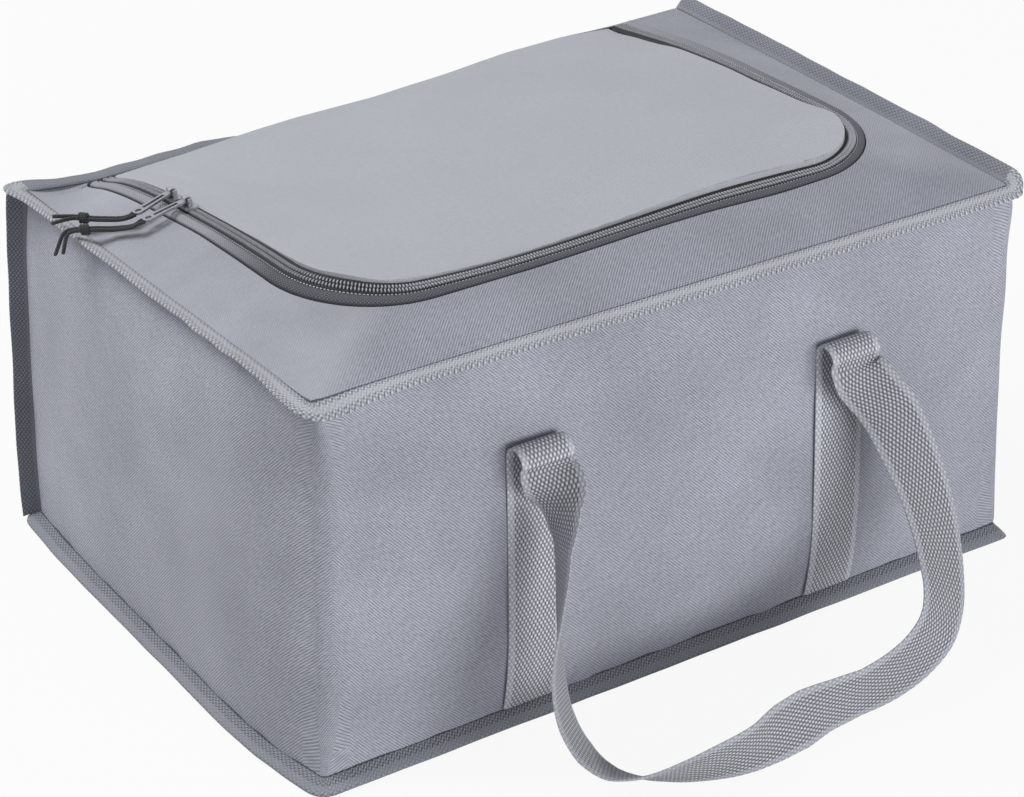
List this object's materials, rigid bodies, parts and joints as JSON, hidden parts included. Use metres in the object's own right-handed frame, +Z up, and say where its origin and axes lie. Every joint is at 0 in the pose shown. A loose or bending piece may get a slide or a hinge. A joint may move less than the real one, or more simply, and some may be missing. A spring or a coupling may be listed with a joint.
{
  "type": "insulated bag",
  "caption": "Soft padded box bag with a zipped lid that folds back, bound seams and a webbing carry handle on each long side.",
  "frame": {"origin": "The middle of the underside of the base, on the ground the bag stands on.", "axes": "+X runs along the length of the bag, the front wall with the pictured handle faces -Y and +Z is up."},
  "size_m": [0.4764, 0.5536, 0.2453],
  "materials": {
    "cover": "matte woven polyester, pale grey with a blue cast",
    "foam": "soft closed-cell padding, matte",
    "lining": "smooth wipe-clean lining, slight sheen",
    "binding": "ribbed edge binding, matte",
    "webbing": "woven webbing, matte",
    "zip_tape": "woven zip tape, matte",
    "zip_coil": "moulded nylon coil, satin",
    "slider_metal": "dark gunmetal, satin",
    "cord": "braided cord, matte"
  },
  "bodies": {
    "bag": {"base_cover": "cover", "wall_wrap_cover": "cover", "back_wall_cover": "cover", "top_frame_cover": "cover", "foam_base": "foam", "foam_front": "foam", "foam_back": "foam", "foam_left": "foam", "foam_right": "foam", "foam_top_frame": "foam", "lining_tub": "lining", "lining_top_frame": "lining", "binding_top": "binding", "binding_base": "binding", "binding_back_left": "binding", "binding_back_right": "binding", "zip_tape_frame": "zip_tape", "zip_coil_frame": "zip_coil", "handle_front_leg_left": "webbing", "handle_front_leg_right": "webbing", "handle_back_leg_left": "webbing", "handle_back_leg_right": "webbing"},
    "lid": {"lid_cover": "cover", "lid_foam": "foam", "lid_lining": "lining", "zip_tape_lid": "zip_tape", "zip_coil_lid": "zip_coil"},
    "slider_a": {"slider_a": "slider_metal"},
    "slider_b": {"slider_b": "slider_metal"},
    "pull_a": {"pull_tab_a": "slider_metal", "pull_cord_a1": "cord", "pull_cord_a2": "cord", "pull_knot_a": "cord"},
    "pull_b": {"pull_tab_b": "slider_metal", "pull_cord_b1": "cord", "pull_cord_b2": "cord", "pull_knot_b": "cord"},
    "handle_front": {"handle_front_loop": "webbing"},
    "handle_back": {"handle_back_loop": "webbing"}
  },
  "joints": [
    {"name": "lid_hinge", "type": "hinge", "parent": "bag", "child": "lid", "pos_m": [0, 0.152, 0.2231], "axis": [-1, 0, 0], "range_deg": [0, 100]},
    {"name": "slider_a_slide", "type": "slide", "parent": "lid", "child": "slider_a", "axis": [0, 0.995, -0.0995], "range_m": [0, 0.055], "deforming": ["pull_cord_a1", "pull_cord_a2", "pull_knot_a"]},
    {"name": "slider_b_slide", "type": "slide", "parent": "lid", "child": "slider_b", "axis": [0, -0.995, 0.0995], "range_m": [0, 0.09]},
    {"name": "pull_a_swing", "type": "hinge", "parent": "slider_a", "child": "pull_a", "pos_m": [-0.1755, 0.07204, 0.23532], "axis": [0, 0.995, -0.0995], "range_deg": [0, 170]},
    {"name": "pull_b_swing", "type": "hinge", "parent": "slider_b", "child": "pull_b", "pos_m": [-0.1755, 0.05504, 0.23702], "axis": [0, 0.995, -0.0995], "range_deg": [0, 170]},
    {"name": "handle_front_swing", "type": "hinge", "parent": "bag", "child": "handle_front", "pos_m": [0, -0.1811, 0.16185], "axis": [-1, 0, 0], "range_deg": [0, 135]},
    {"name": "handle_back_swing", "type": "hinge", "parent": "bag", "child": "handle_back", "pos_m": [0, 0.1811, 0.16185], "axis": [1, 0, 0], "range_deg": [0, 135]}
  ]
}
